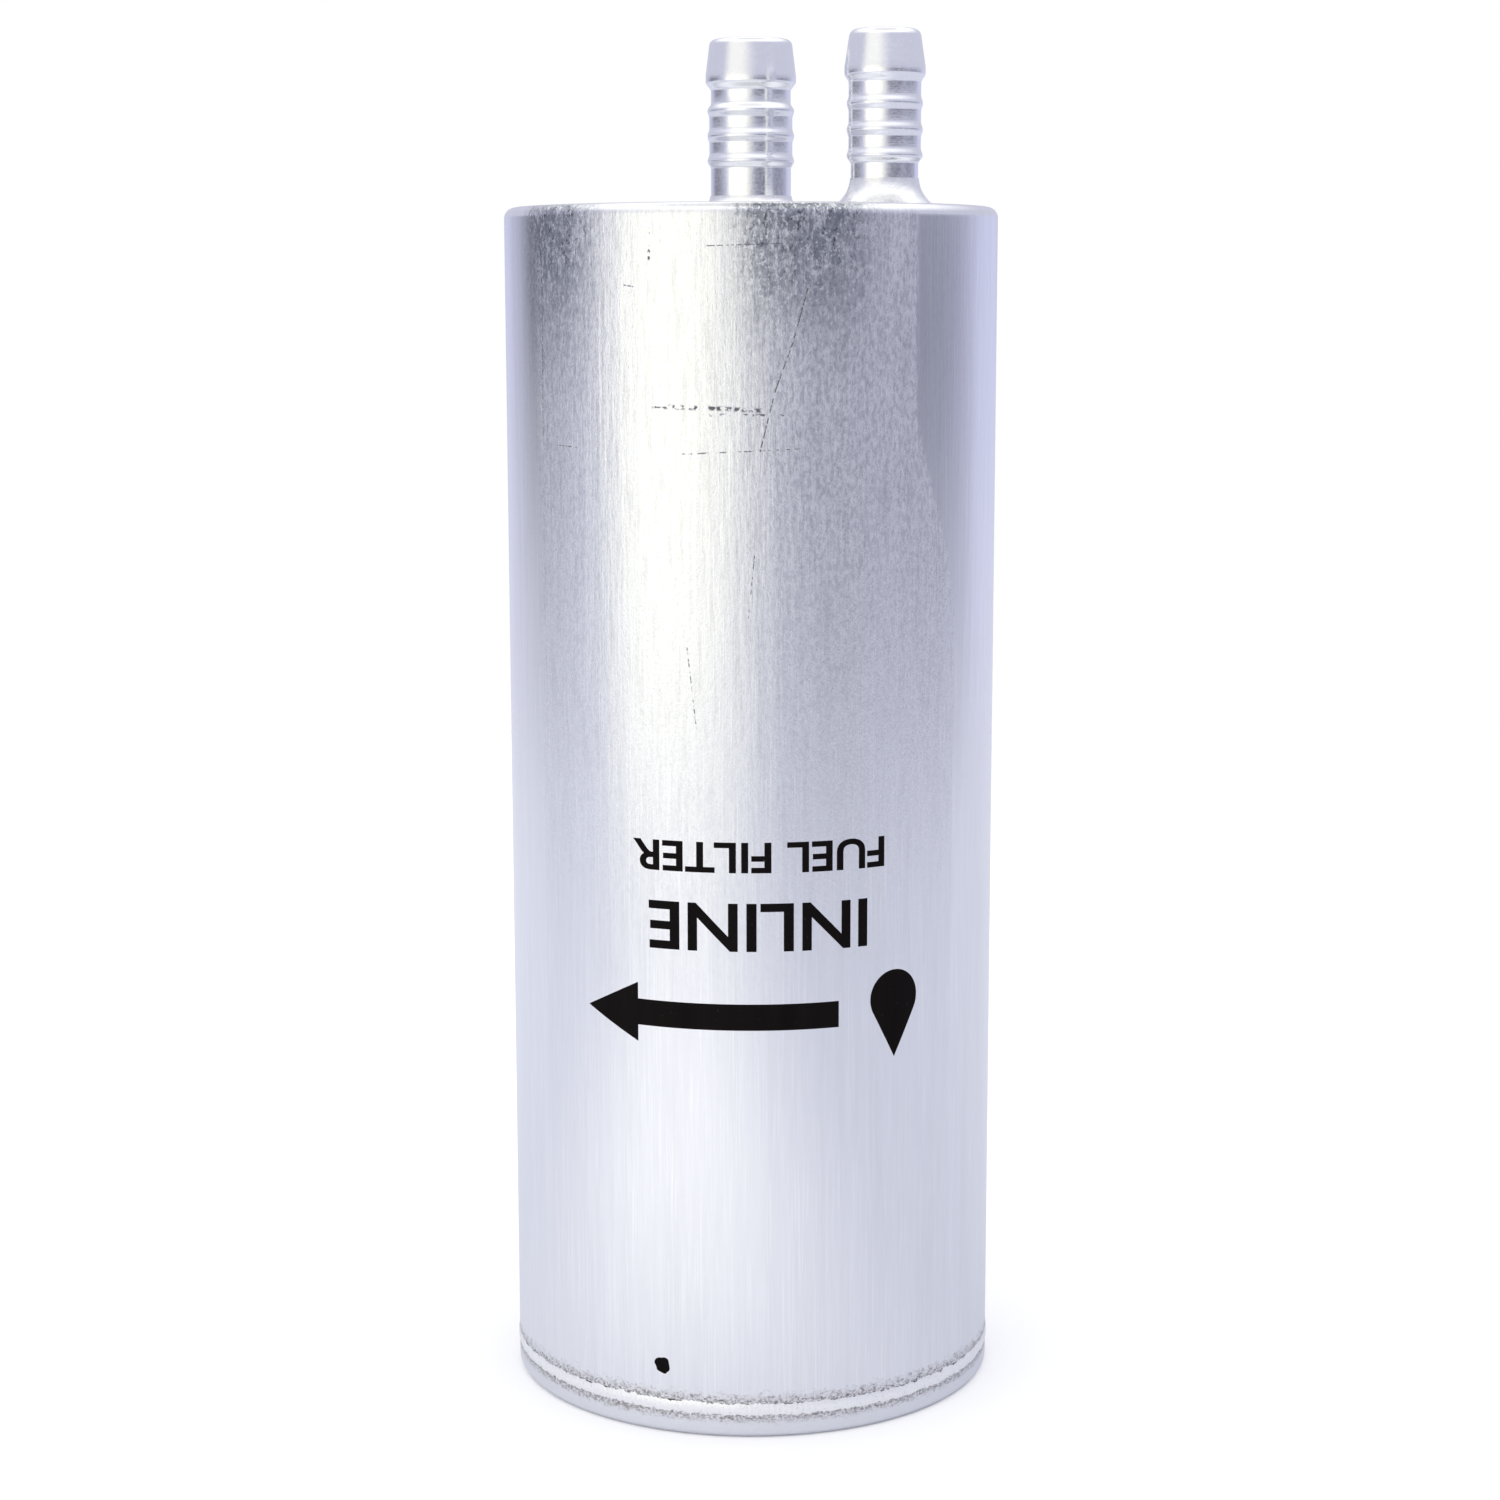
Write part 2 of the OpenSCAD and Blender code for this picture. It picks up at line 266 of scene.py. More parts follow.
def can_aluminium():
    """Satin drawn wall: broad lengthwise streaks and a crystalline grain that is coarse on the
    printed side and quieter beside it, where the sharp right edge of the quiet band is a painted
    reflection edge; pitted under the rim and darkened there in patches as painted dark
    reflection, with a few scratches and smoke from welding just above the seam."""
    material, g, surface = new_material("can_aluminium", Metallic=1.0)
    place = g.place()
    flat = unrolled(g, place)
    arc_at, height = g.split(flat)[:2]
    side = g.math("ABSOLUTE", arc_at)
    out = g.vector("LENGTH", g.stretched(place, 1, 1, 0), out="Value")
    wall = g.fade(out, CAN_R - 1.4, CAN_R - 0.5)

    # How strongly the grain shows: quiet bands beside the printed side, fainter lower down; the
    # sharp, curved right edge of one band is a painted reflection edge, drawn with grain and
    # roughness
    painted_reflection_edge = g.math("SUBTRACT", arc_at, g.fade(height, 136, 174, 10, 0))
    calm_and_painted_reflection = g.math("MULTIPLY", g.fade(side, 70, 82, 1, 0),
                  g.math("MAXIMUM", g.fade(painted_reflection_edge, 28.2, 29.6), g.fade(arc_at, -43, -40, 1, 0)))
    coarse = g.math("SUBTRACT", 1.0, g.math("MULTIPLY", calm_and_painted_reflection, 0.85))
    coarse = g.math("MULTIPLY", coarse, g.fade(height, 50, 190, 0.12, 1.0))
    coarse = g.math("MULTIPLY", coarse, g.fade(height, TOP - 2, TOP - 0.8, 1.0, 0.3))
    coarse = g.mix(wall, grey(0.25), coarse)

    streaks = g.noise(g.stretched(place, 1, 1, 0.05), 0.32, 4.0, 0.6)
    lines = g.noise(g.stretched(place, 1, 1, 0.012), 5.0, 3.0)
    broad = g.noise(g.stretched(place, 1, 1, 0.03), 0.5, 3.0)
    grain = g.noise(g.stretched(place, 1, 1, 0.42), 1.9, 5.0, 0.68)
    flecks = g.noise(g.stretched(place, 1, 1, 0.6), 4.2, 3.0, 0.6)
    smears = g.noise(g.stretched(place, 1, 1, 0.09), 1.1, 5.0, 0.65)
    # Painted dark reflection under the rim; the pits only show inside it
    painted_dark_reflection = rim_painted_reflection(g, flat, g.noise(g.stretched(place, 1, 1, 0.5), 0.8, 5.0, 0.78), wall)
    crystals = g.fade(g.noise(g.stretched(place, 1, 1, 0.8), 1.7, 3.0, 0.6), 0.55, 0.62)
    painted_dark_reflection = g.math("MULTIPLY", painted_dark_reflection, g.math("SUBTRACT", 1, g.math("MULTIPLY", crystals, 0.8)))
    pits = g.fade(g.noise(g.stretched(place, 1, 1, 0.7), 1.1, 4.0, 0.72), 0.53, 0.60)
    pits = g.math("MULTIPLY", pits, g.fade(height, TOP - 20, TOP - 3, 0.15, 0.8))
    pits = g.math("MULTIPLY", pits, painted_dark_reflection)
    marks = g.math("MULTIPLY", wall_marks(g, flat), wall)
    rings = g.noise(g.join(out, 0, 0), 2.2, 3.0)

    # Smoke and heat tint beside the weld
    over_weld = g.math("SUBTRACT", height, WELD_Z + WELD_HALF)
    smoke_noise = g.noise(g.stretched(place, 1, 1, 1.4), 0.9, 4.0, 0.7)
    smoke_reach = g.math("ADD", g.math("MULTIPLY", smoke_noise, 5.2), -1.3)
    smoke = g.fade(g.math("SUBTRACT", over_weld, smoke_reach), -1.2, 0.8, 1, 0)
    soot = g.fade(g.noise(g.stretched(place, 1, 1, 1.5), 2.0, 4.0, 0.75), 0.38, 0.62)
    smoke = g.math("MULTIPLY", smoke, soot)

    colour = g.mix(broad, grey(0.81, METAL_TINT), grey(0.90, METAL_TINT))
    colour = g.mix(g.fade(lines, 0.5, 0.7, 0, 0.5), colour, grey(0.97))
    colour = g.mix(wall, g.mix(g.fade(rings, 0.35, 0.65), grey(0.70, METAL_TINT),
                               grey(0.82, METAL_TINT)), colour)
    dark_grain = g.math("MULTIPLY", g.fade(grain, 0.34, 0.56, 1, 0), coarse)
    colour = g.mix(g.math("MULTIPLY", dark_grain, 0.30), colour, (0.42, 0.43, 0.49, 1))
    dark_smear = g.math("MULTIPLY", g.fade(smears, 0.36, 0.50, 1, 0), coarse)
    colour = g.mix(g.math("MULTIPLY", dark_smear, 0.22), colour, (0.40, 0.41, 0.46, 1))
    bright_fleck = g.math("MULTIPLY", g.fade(flecks, 0.56, 0.68), coarse)
    colour = g.mix(g.math("MULTIPLY", bright_fleck, 0.4), colour, grey(0.99))
    # Painted dark reflection: darker, bluish colour in patches under the rim
    colour = g.mix(g.math("MULTIPLY", painted_dark_reflection, 0.85), colour, (0.22, 0.24, 0.28, 1))
    colour = g.mix(pits, colour, (0.07, 0.08, 0.10, 1))
    colour = g.mix(g.math("MULTIPLY", marks, 0.85), colour, (0.05, 0.05, 0.06, 1))
    colour = g.mix(smoke, colour, (0.24, 0.21, 0.20, 1))

    rough = g.math("MULTIPLY", g.fade(grain, 0.3, 0.7, -0.08, 0.08), coarse)
    # The quiet bands, one edge of which is a painted reflection edge, are also less rough
    rough = g.math("ADD", rough, g.math("MULTIPLY", calm_and_painted_reflection, -0.09))
    rough = g.math("ADD", rough, 0.25)
    rough = g.math("ADD", rough, g.math("MULTIPLY", smoke, 0.25))
    rough = g.math("ADD", rough, g.math("MULTIPLY", marks, 0.3))

    normal = g.bump(streaks, 0.12, None, g.math("ADD", 0.25, g.math("MULTIPLY", coarse, 0.75)))
    normal = g.bump(g.mix(wall, rings, lines), 0.008, normal)
    normal = g.bump(smears, 0.05, normal, coarse)
    normal = g.bump(grain, 0.05, normal, coarse)
    normal = g.bump(flecks, 0.02, normal, coarse)
    normal = g.bump(g.math("ADD", marks, pits), -0.03, normal)
    g.dress(surface, colour, rough, normal)
    return material


def cap_aluminium():
    """Pressed end cap: like the wall, with weld smoke below the seam."""
    material, g, surface = new_material("cap_aluminium", Metallic=1.0)
    place = g.place()
    height = g.split(place)[2]
    grain = g.noise(g.stretched(place, 1, 1, 1.2), 1.6, 3.0, 0.6)
    below = g.math("SUBTRACT", WELD_Z - WELD_HALF, height)
    smoke_noise = g.noise(g.stretched(place, 1, 1, 1.4), 1.1, 4.0, 0.7)
    smoke = g.fade(g.math("SUBTRACT", below, g.math("MULTIPLY", smoke_noise, 2.6)),
                   -1.0, 0.4, 1, 0)
    soot = g.fade(g.noise(g.stretched(place, 1, 1, 1.5), 2.0, 4.0, 0.75), 0.38, 0.62)
    smoke = g.math("MULTIPLY", smoke, soot)
    colour = g.mix(grain, grey(0.80, METAL_TINT), grey(0.90, METAL_TINT))
    colour = g.mix(smoke, colour, (0.27, 0.24, 0.23, 1))
    g.dress(surface, colour, g.fade(grain, 0.3, 0.7, 0.30, 0.45), g.bump(grain, 0.03))
    return material


def weld_metal():
    """Bright bead with a frosted skin."""
    material, g, surface = new_material("weld_bead", Metallic=1.0)
    place = g.place()
    frost = g.noise(place, 3.0, 4.0, 0.7)
    colour = g.mix(g.fade(frost, 0.55, 0.75), grey(0.97), (0.55, 0.53, 0.52, 1))
    g.dress(surface, colour, g.fade(frost, 0.3, 0.7, 0.35, 0.5), g.bump(frost, 0.03))
    return material


def turned_aluminium():
    """Machined barbs: rings left by the tool, small nicks and a light satin."""
    material, g, surface = new_material("turned_aluminium", Metallic=1.0)
    place = g.place()
    rings = g.noise(g.stretched(place, 0.02, 0.02, 1), 6.0, 2.0)
    spots = g.noise(place, 1.8, 3.0, 0.6)
    nicks = g.fade(g.noise(place, 2.6, 3.0, 0.7), 0.70, 0.76)
    colour = g.mix(spots, grey(0.84, METAL_TINT), grey(0.93, METAL_TINT))
    colour = g.mix(g.math("MULTIPLY", nicks, 0.6), colour, (0.2, 0.2, 0.22, 1))
    normal = g.bump(spots, 0.015, g.bump(rings, 0.006))
    g.dress(surface, colour, g.fade(spots, 0.3, 0.7, 0.11, 0.22), normal)
    return material


def braze_filler():
    """Filler metal that flowed round a barb's foot."""
    material, g, surface = new_material("braze_filler", Metallic=1.0)
    place = g.place()
    flow = g.noise(place, 0.9, 3.0, 0.6)
    colour = g.mix(flow, grey(0.78, METAL_TINT), grey(0.92))
    g.dress(surface, colour, g.fade(flow, 0.3, 0.7, 0.22, 0.36), g.bump(flow, 0.06))
    return material


def black_ink():
    """Thin printed ink with pinholes and slightly worn patches."""
    material, g, surface = new_material("black_ink", **{"Specular IOR Level": 0.04})
    place = g.place()
    worn = g.fade(g.noise(g.stretched(place, 1, 1, 0.3), 3.2, 3.0, 0.7), 0.68, 0.80)
    thin = g.noise(g.stretched(place, 1, 1, 0.1), 0.35, 2.0)
    colour = g.mix(thin, (0.003, 0.002, 0.002, 1), (0.009, 0.007, 0.007, 1))
    colour = g.mix(g.math("MULTIPLY", worn, 0.5), colour, (0.25, 0.25, 0.27, 1))
    normal = g.bump(g.noise(place, 4.0), 0.004)
    g.dress(surface, colour, g.fade(thin, 0.3, 0.7, 0.5, 0.6), normal)
    return material


def tin_plate():
    """Tin-plated pressed sheet: bright, faintly crystalline, with light rubs."""
    material, g, surface = new_material("tin_plate", Metallic=1.0)
    place = g.place()
    crystals = g.cells(place, 0.22, "Color")
    rubs = g.noise(g.stretched(place, 0.3, 2.0, 0.3), 1.4, 3.0)
    shade = g.add("ShaderNodeSeparateColor", {"Color": crystals}).outputs[0]
    colour = g.mix(shade, grey(0.60, (1, 1, 0.96)), grey(0.72, (1, 1, 0.97)))
    g.dress(surface, colour, g.fade(rubs, 0.3, 0.7, 0.25, 0.42), g.bump(rubs, 0.01))
    return material


def spring_steel():
    """Oil-tempered wire: dark, smooth, with faint lines along the draw."""
    material, g, surface = new_material("spring_steel", Metallic=1.0)
    place = g.place()
    scale = g.noise(g.stretched(place, 0.4, 0.4, 3.0), 2.0, 3.0)
    colour = g.mix(scale, (0.15, 0.14, 0.14, 1), (0.34, 0.33, 0.34, 1))
    g.dress(surface, colour, g.fade(scale, 0.3, 0.7, 0.3, 0.45), g.bump(scale, 0.01))
    return material


def filter_paper():
    """Resin-cured cellulose: fibrous, cream, slightly blotchy."""
    material, g, surface = new_material("filter_paper", **{"Sheen Weight": 0.15})
    place = g.place()
    fibre = g.noise(g.stretched(place, 1, 1, 0.4), 5.0, 4.0, 0.7)
    blotch = g.noise(place, 0.12, 3.0)
    colour = g.mix(fibre, (0.62, 0.45, 0.20, 1), (0.86, 0.73, 0.44, 1))
    colour = g.mix(g.math("MULTIPLY", blotch, 0.35), colour, (0.74, 0.56, 0.28, 1))
    g.dress(surface, colour, g.fade(fibre, 0.3, 0.7, 0.85, 0.95), g.bump(fibre, 0.06))
    return material


def cured(name, dark, light, rough, grain_scale, depth):
    """A cast or moulded solid: two close colours, mottled, with a shallow texture."""
    material, g, surface = new_material(name)
    place = g.place()
    mottle = g.noise(place, grain_scale, 3.0, 0.6)
    normal = g.bump(g.noise(place, grain_scale * 4, 2.0), depth)
    g.dress(surface, g.mix(mottle, dark + (1,), light + (1,)),
            g.fade(mottle, 0.3, 0.7, rough - 0.08, rough + 0.08), normal)
    return material


MATERIALS = {
    "can_aluminium": can_aluminium(),
    "cap_aluminium": cap_aluminium(),
    "weld_bead": weld_metal(),
    "turned_aluminium": turned_aluminium(),
    "braze_filler": braze_filler(),
    "black_ink": black_ink(),
    "tin_plate": tin_plate(),
    "spring_steel": spring_steel(),
    "filter_paper": filter_paper(),
    "adhesive": cured("adhesive", (0.10, 0.045, 0.02), (0.17, 0.08, 0.04), 0.4, 0.4, 0.05),
    "bead_glue": cured("bead_glue", (0.70, 0.62, 0.45), (0.80, 0.74, 0.58), 0.35, 0.8, 0.05),
    "seal_rubber": cured("seal_rubber", (0.010, 0.010, 0.011), (0.022, 0.022, 0.024), 0.55,
                         1.5, 0.02),
    "black_plastic": cured("black_plastic", (0.015, 0.015, 0.017), (0.03, 0.03, 0.033), 0.45,
                           1.0, 0.02),
}


# ---------------------------------------------------------------- mesh helpers


def arc(centre, radius, start, stop, steps=10):
    """Points on an arc from angle start to stop, in degrees."""
    return [(centre[0] + radius * math.cos(math.radians(a)),
             centre[1] + radius * math.sin(math.radians(a)))
            for a in (start + (stop - start) * i / steps for i in range(steps + 1))]


def slope(a, b, low, length, steps=14):
    """Cosine curve from radius a at height low to radius b, length higher."""
    return [(a + (b - a) * (1 - math.cos(math.pi * i / steps)) / 2, low + length * i / steps)
            for i in range(steps + 1)]


def line(a, b, steps):
    """Evenly spaced points from a towards b, without b itself."""
    return [(a[0] + (b[0] - a[0]) * i / steps, a[1] + (b[1] - a[1]) * i / steps)
            for i in range(steps)]


def lathe(outline, segments=256, centre=(0, 0)):
    """A solid turned from a closed outline of (radius, height) points, as a bmesh."""
    bm = bmesh.new()
    rings = []
    for radius, height in outline:
        count = segments if radius > 1e-6 else 1
        ring = [bm.verts.new(((centre[0] + radius * math.cos(2 * math.pi * j / segments)) * MM,
                              (centre[1] + radius * math.sin(2 * math.pi * j / segments)) * MM,
                              height * MM)) for j in range(count)]
        rings.append(ring * (segments // count))
    for a, b in zip(rings, rings[1:] + rings[:1]):
        for j in range(segments):
            k = (j + 1) % segments
            corners = list(dict.fromkeys((a[j], a[k], b[k], b[j])))
            if len(corners) > 2:
                bm.faces.new(corners)
    bmesh.ops.recalc_face_normals(bm, faces=bm.faces)
    return bm


def piece(name, bm, slot, body, replaced=(), sharp=35):
    """Turns a bmesh in metres into a piece of the filter, smooth between its sharp edges."""
    for face in bm.faces:
        face.smooth = True
    for edge in bm.edges:
        edge.smooth = len(edge.link_faces) == 2 and edge.calc_face_angle(0) < math.radians(sharp)
    mesh = bpy.data.meshes.new(name)
    bm.to_mesh(mesh)
    bm.free()
    obj = bpy.data.objects.new(name, mesh)
    bpy.context.scene.collection.objects.link(obj)
    mesh.materials.append(MATERIALS[slot])
    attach(obj, body)
    if replaced:
        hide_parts(*replaced)
    return obj


def drilled(bm, cutter_bm):
    """bm with the solid cutter_bm taken away."""
    objects = []
    for solid in (bm, cutter_bm):
        mesh = bpy.data.meshes.new("solid")
        solid.to_mesh(mesh)
        solid.free()
        objects.append(bpy.data.objects.new("solid", mesh))
        bpy.context.scene.collection.objects.link(objects[-1])
    body, cutter = objects
    modifier = body.modifiers.new("hole", "BOOLEAN")
    modifier.operation, modifier.solver, modifier.object = "DIFFERENCE", "EXACT", cutter
    result = bmesh.new()
    result.from_object(body, bpy.context.evaluated_depsgraph_get())
    for obj in objects:
        bpy.data.objects.remove(obj)
    return result


# ---------------------------------------------------------------- canister


def build_can():
    """Extruded can: straight wall, rounded shoulder and flat top with two holes."""
    neck = OUTLET["neck"]
    edge = TOP - SHOULDER
    outline = [(CAN_R - WELD_HALF, WELD_Z), (CAN_R, WELD_Z + WELD_HALF)]
    outline += line((CAN_R, WELD_Z + WELD_HALF + EDGE_RING), (CAN_R, edge - EDGE_RING), 48)
    outline += [(CAN_R, edge - EDGE_RING)]
    outline += arc((CAN_R - SHOULDER, edge), SHOULDER, 0, 90, 12)
    outline += line((CAN_R - SHOULDER - EDGE_RING, TOP), (neck, TOP), 12)
    outline += [(neck, TOP), (neck, PLATE)]
    outline += arc((BORE_R - INNER_SHOULDER, PLATE - INNER_SHOULDER), INNER_SHOULDER, 90, 0, 6)
    outline += [(BORE_R, WELD_Z)]
    hole_r, overrun = INLET_PORT["neck"], 3
    hole = lathe([(0, PLATE - overrun), (hole_r, PLATE - overrun),
                  (hole_r, TOP + overrun), (0, TOP + overrun)], 96, INLET)
    can = drilled(lathe(outline), hole)
    piece("canister_wall", can, "can_aluminium", CANISTER, ["can_wall", "can_top"])


def build_end_cap():
    """Pressed end cap: rounded foot with a raised centre panel, and a lip inside the can."""
    floor, recess, panel_r, ramp = 1.8, 1.6, 17, 0.8
    boss_r, corner_r = panel_r + 1.4, 1
    lip_r, lip_top, lip_t, chamfer = BORE_R - 0.05, WELD_Z + 4, 2, 0.3
    outline = [(0, recess), (panel_r - ramp, recess)]
    outline += [(panel_r + ramp * t, recess * (1 + math.cos(math.pi * (t + 1) / 2)) / 2)
                for t in (i / 4 for i in range(-3, 5))]
    outline += [(CAN_R - FOOT_EDGE - EDGE_RING, 0)]
    outline += arc((CAN_R - FOOT_EDGE, FOOT_EDGE), FOOT_EDGE, -90, 0, 10)
    outline += [(CAN_R, WELD_Z - WELD_HALF), (CAN_R - WELD_HALF, WELD_Z)]
    outline += [(lip_r, WELD_Z), (lip_r, lip_top - chamfer), (lip_r - chamfer, lip_top),
                (lip_r - lip_t + chamfer, lip_top), (lip_r - lip_t, lip_top - chamfer)]
    outline += arc((lip_r - lip_t - corner_r, floor + corner_r), corner_r, 0, -90, 6)
    outline += [(boss_r + 1, floor), (boss_r, floor + recess), (0, floor + recess)]
    piece("end_cap_shell", lathe(outline), "cap_aluminium", CANISTER, ["end_cap"])


def ragged(around, aside, swing, scale, fine_scale):
    """How far the weld's edge lies from its middle, in mm, in the direction around."""
    fine_swing = 0.28
    reach = WELD_HALF + swing * noise.noise(around * scale + aside)
    return reach + fine_swing * noise.noise(around * fine_scale + aside)


def weld_crown(around, share, height, ripple):
    """How far the bead stands out at a share of its width, from -1 to 1."""
    full, edge_crown, ripple_depth, lump_depth = 0.14, 0.012, 0.030, 0.03
    bow = 1 - share * share
    crown = full * bow + edge_crown
    crown += ripple_depth * bow * math.sin(ripple)
    crown += lump_depth * bow * noise.noise(around * 60 + Vector((0, 0, height)))
    return crown


def build_weld():
    """Girth weld: a low crowned bead with overlapping ripples and ragged edges."""
    segments, across, ripple_pitch, ripple_bend = 1600, 12, 0.95, 2.6
    ripple_count = round(2 * math.pi * CAN_R / ripple_pitch)
    bm = bmesh.new()
    rings = []
    for j in range(segments):
        angle = 2 * math.pi * j / segments
        around = Vector((math.cos(angle), math.sin(angle), 0))
        edge_up = ragged(around, Vector((0, 0, 0)), 0.30, 26, 120)
        edge_down = ragged(around, Vector((0, 0, 9)), 0.25, 24, 110)
        ring = []
        for i in range(across + 1):
            share = 2 * i / across - 1
            height = share * (edge_up if share > 0 else edge_down)
            ripple = ripple_count * angle + ripple_bend * share * share
            crown = weld_crown(around, share, height, ripple)
            ring.append(bm.verts.new((around * (CAN_R + crown) + Vector((0, 0, WELD_Z + height)))
                                     * MM))
        root = around * (CAN_R - WELD_HALF) + Vector((0, 0, WELD_Z))
        ring.append(bm.verts.new(root * MM))
        rings.append(ring)
    for a, b in zip(rings, rings[1:] + rings[:1]):
        for i in range(len(a)):
            k = (i + 1) % len(a)
            bm.faces.new((a[i], b[i], b[k], a[k]))
    bmesh.ops.recalc_face_normals(bm, faces=bm.faces)
    piece("girth_weld_bead", bm, "weld_bead", CANISTER, ["girth_weld"], sharp=60)


# ---------------------------------------------------------------- ports

# Radii of each barb, and its shape below and above the top plate
OUTLET = {"neck": 6.8, "valley": 7.05, "crest": 7.35, "groove": 6.75, "bulge": 7.65,
          "tip": 7.05, "round": 1.1, "bore": mounts["outlet_bore"]["dims"]["r_mm"],
          "reach": 15.1}
INLET_PORT = {"neck": 5.5, "valley": 5.9, "crest": 6.2, "groove": 5.9, "bulge": 6.6,
              "tip": 5.9, "round": 1.3, "bore": mounts["inlet_bore"]["dims"]["r_mm"],
              "reach": 4.0}
RIDGES, FIRST_RIDGE, RIDGE_PITCH, RIDGE_SLOPE = 3, 7.8, 4.2, 1.3
BULGE, BULGE_LAND, BULGE_FOOT = 21.0, 1.0, 1.6
FLANGE_W, FLANGE_T = 3.1, 2.0
BROKEN_EDGE = 0.3


def barb_outline(p):
    """Closed outline of a barb: outside from the spigot's end to the tip, and its bore."""
    height = TIP - TOP
    points = [(p["neck"], 0)]
    for i in range(RIDGES):
        low = p["neck"] if i == 0 else p["valley"]
        high = p["groove"] if i == RIDGES - 1 else p["valley"]
        crest = FIRST_RIDGE + i * RIDGE_PITCH
        points += slope(low, p["crest"], crest - RIDGE_SLOPE, RIDGE_SLOPE)
        points += slope(p["crest"], high, crest, RIDGE_SLOPE)[1:]
    points += slope(p["groove"], p["bulge"], BULGE - BULGE_FOOT, BULGE_FOOT)
    cone_foot, cone_top = (p["bulge"], BULGE + BULGE_LAND), (p["tip"], height - p["round"])
    points += line(cone_foot, cone_top, 6)
    points += arc((p["tip"] - p["round"], cone_top[1]), p["round"], 0, 90, 8)
    points = [(r, z + TOP) for r, z in points]
    points += arc((p["bore"] + BROKEN_EDGE, TIP - BROKEN_EDGE), BROKEN_EDGE, 90, 180, 4)
    end, neck = PLATE - p["reach"], p["neck"]
    points += [(p["bore"], end), (neck - BROKEN_EDGE, end), (neck, end + BROKEN_EDGE),
               (neck, PLATE - FLANGE_T), (neck + FLANGE_W, PLATE - FLANGE_T),
               (neck + FLANGE_W, PLATE), (neck, PLATE)]
    return points


def braze_outline(neck, width, height, radius):
    """Concave fillet between a neck and the top plate."""
    edge = 0.12
    centre_x = neck + radius + edge
    centre_z = TOP + math.sqrt(radius ** 2 - (radius + edge - width) ** 2) + edge
    top_angle = 180 + math.degrees(math.asin(min(1, (centre_z - TOP - height) / radius)))
    foot_angle = 360 - math.degrees(math.acos((neck + width - centre_x) / radius))
    return ([(neck, TOP), (neck, TOP + height)]
            + arc((centre_x, centre_z), radius, top_angle, foot_angle, 16)
            + [(neck + width, TOP)])


def build_port(name, p, centre, node, braze_node, width, height, radius):
    """A hose barb and the filler round its foot, which is slightly uneven."""
    lump = 0.05
    bm = lathe(barb_outline(p), 160, centre)
    piece(name + "_hose_barb", bm, "turned_aluminium", CANISTER, [node])
    ring = lathe(braze_outline(p["neck"], width, height, radius), 160, centre)
    for vert in ring.verts:
        away = Vector((vert.co.x - centre[0] * MM, vert.co.y - centre[1] * MM, 0))
        off_neck = mm(away.length) - p["neck"]
        if off_neck > lump and mm(vert.co.z) > TOP + 0.01:
            vert.co += away.normalized() * lump * MM * noise.noise(vert.co * 700)
    piece(name + "_braze_ring", ring, "braze_filler", CANISTER, [braze_node])


# ---------------------------------------------------------------- print

INK_T = 0.02  # how far the ink stands proud of the wall, and reaches into it


def flat_to_wall(bm, arc_centre, height_centre):
    """Bends a flat solid drawn in mm onto the wall, upside down."""
    across = [v.co.x for v in bm.verts]
    step = 0.8
    for i in range(math.ceil(min(across) / step), math.ceil(max(across) / step)):
        bmesh.ops.bisect_plane(bm, geom=bm.verts[:] + bm.edges[:] + bm.faces[:],
                               plane_co=(i * step, 0, 0), plane_no=(1, 0, 0))
    bmesh.ops.remove_doubles(bm, verts=bm.verts, dist=INK_T / 5)
    bmesh.ops.dissolve_degenerate(bm, edges=bm.edges, dist=INK_T / 5)
    for vert in bm.verts:
        angle = (arc_centre - vert.co.x) / CAN_R
        radius = CAN_R + vert.co.z
        vert.co = Vector((radius * math.sin(angle), -radius * math.cos(angle),
                          height_centre - vert.co.y)) * MM
    bmesh.ops.recalc_face_normals(bm, faces=bm.faces)
    if bm.calc_volume(signed=True) < 0:
        bmesh.ops.reverse_faces(bm, faces=bm.faces)
    return bm


def lettering(words, width, height, weight):
    """A flat solid of generic words, centred, width by height in mm."""
    curve = bpy.data.curves.new("words", "FONT")
    curve.body, curve.offset, curve.extrude = words, weight, INK_T
    curve.resolution_u = 6
    obj = bpy.data.objects.new("words", curve)
    bpy.context.scene.collection.objects.link(obj)
    settled = obj.evaluated_get(bpy.context.evaluated_depsgraph_get())
    mesh = bpy.data.meshes.new_from_object(settled)
    bpy.data.objects.remove(obj)
    bm = bmesh.new()
    bm.from_mesh(mesh)
    bmesh.ops.remove_doubles(bm, verts=bm.verts, dist=1e-5)
    low = [min(v.co[k] for v in bm.verts) for k in (0, 1)]
    high = [max(v.co[k] for v in bm.verts) for k in (0, 1)]
    for vert in bm.verts:
        vert.co.x = (vert.co.x - (low[0] + high[0]) / 2) * width / (high[0] - low[0])
        vert.co.y = (vert.co.y - (low[1] + high[1]) / 2) * height / (high[1] - low[1])
    return bm


def stencil(outline):
    """A flat solid from a closed outline in mm."""
    bm = bmesh.new()
    low = [bm.verts.new((x, y, -INK_T)) for x, y in outline]
    high = [bm.verts.new((x, y, INK_T)) for x, y in outline]
    bm.faces.new(low[::-1])
    bm.faces.new(high)
    for i in range(len(outline)):
        k = (i + 1) % len(outline)
        bm.faces.new((low[i], low[k], high[k], high[i]))
    return bm


def blob(radius, seed, points=40):
    """Outline of a hand-dabbed dot."""
    source = Vector((seed, 0, 0))
    outline = []
    for i in range(points):
        a = 2 * math.pi * i / points
        way = Vector((math.cos(a), math.sin(a), 0))
        r = radius * (1 + 0.35 * noise.noise(way * 1.1 + source) + 0.12 * noise.noise(way * 4))
        outline.append((r * way.x, r * way.y))
    return outline


